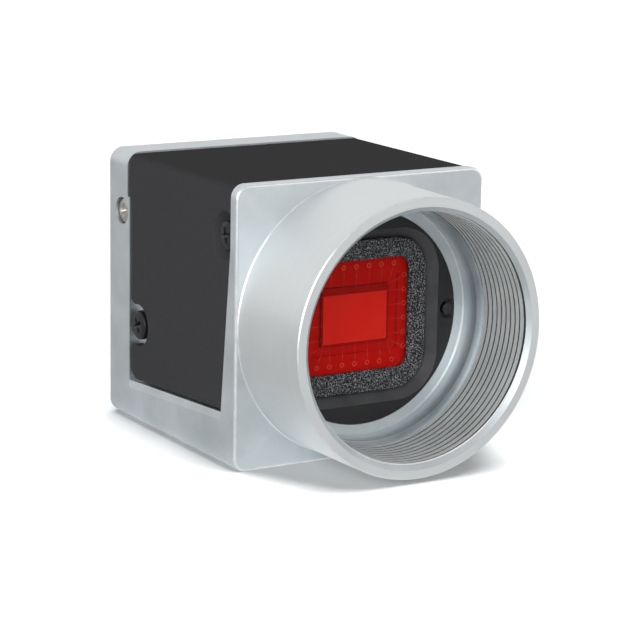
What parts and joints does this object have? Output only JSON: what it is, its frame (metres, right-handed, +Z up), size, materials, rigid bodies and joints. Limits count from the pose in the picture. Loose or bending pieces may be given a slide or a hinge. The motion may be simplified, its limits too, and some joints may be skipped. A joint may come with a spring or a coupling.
{
  "type": "machine vision camera",
  "caption": "Small cube-shaped industrial camera with a threaded lens mount, image sensor, folded cover and rear connectors.",
  "frame": {"origin": "on the underside, at the middle of the body", "axes": "+Z up, -Y out of the lens mount, +Y out of the connectors, +X right seen from the front"},
  "size_m": [0.029, 0.0462, 0.029],
  "materials": {
    "cast_metal": "satin die-cast metal with fine cloudy grain",
    "black_cover": "fine matt black powder coat",
    "black_screw": "black oxide steel",
    "bright_screw": "plain stainless steel",
    "black_plastic": "moulded black plastic",
    "frame_pin": "dark plated steel",
    "gasket": "rough dark foam rubber",
    "red_glass": "polished glass that passes and reflects red",
    "ceramic": "fired brown ceramic",
    "silicon": "polished silicon",
    "gold": "thin gold plating",
    "board": "green solder resist on glass fibre",
    "spacer": "nickel-plated brass",
    "chip": "moulded black epoxy",
    "oscillator": "gold-flashed steel can",
    "capacitor": "fired ceramic with tinned ends",
    "connector_shell": "nickel-plated pressed steel",
    "light_pipe": "clear moulded plastic",
    "diode": "clear resin over a white body"
  },
  "bodies": {
    "root": {"front_housing": "cast_metal", "rear_housing": "cast_metal", "top_cover": "black_cover", "cover_screws": "black_screw", "lower_side_screws": "black_screw", "rear_side_screws": "bright_screw", "stack_screws": "bright_screw", "sensor_frame": "black_plastic", "usb_insulator": "black_plastic", "io_insert": "black_plastic", "front_board_plug": "black_plastic", "front_board_socket": "black_plastic", "rear_board_plug": "black_plastic", "rear_board_socket": "black_plastic", "frame_pins": "frame_pin", "sensor_gasket": "gasket", "sensor_cover_glass": "red_glass", "sensor_package": "ceramic", "sensor_die": "silicon", "bond_pads": "gold", "usb_contacts": "gold", "io_pins": "gold", "sensor_board": "board", "processing_board": "board", "interface_board": "board", "front_spacers": "spacer", "rear_spacers": "spacer", "processor_chip": "chip", "memory_chip": "chip", "power_inductors": "chip", "oscillator": "oscillator", "board_capacitors": "capacitor", "usb_shell": "connector_shell", "io_shell": "connector_shell", "io_nut": "connector_shell", "light_pipe": "light_pipe", "status_diode": "diode"}
  },
  "joints": []
}
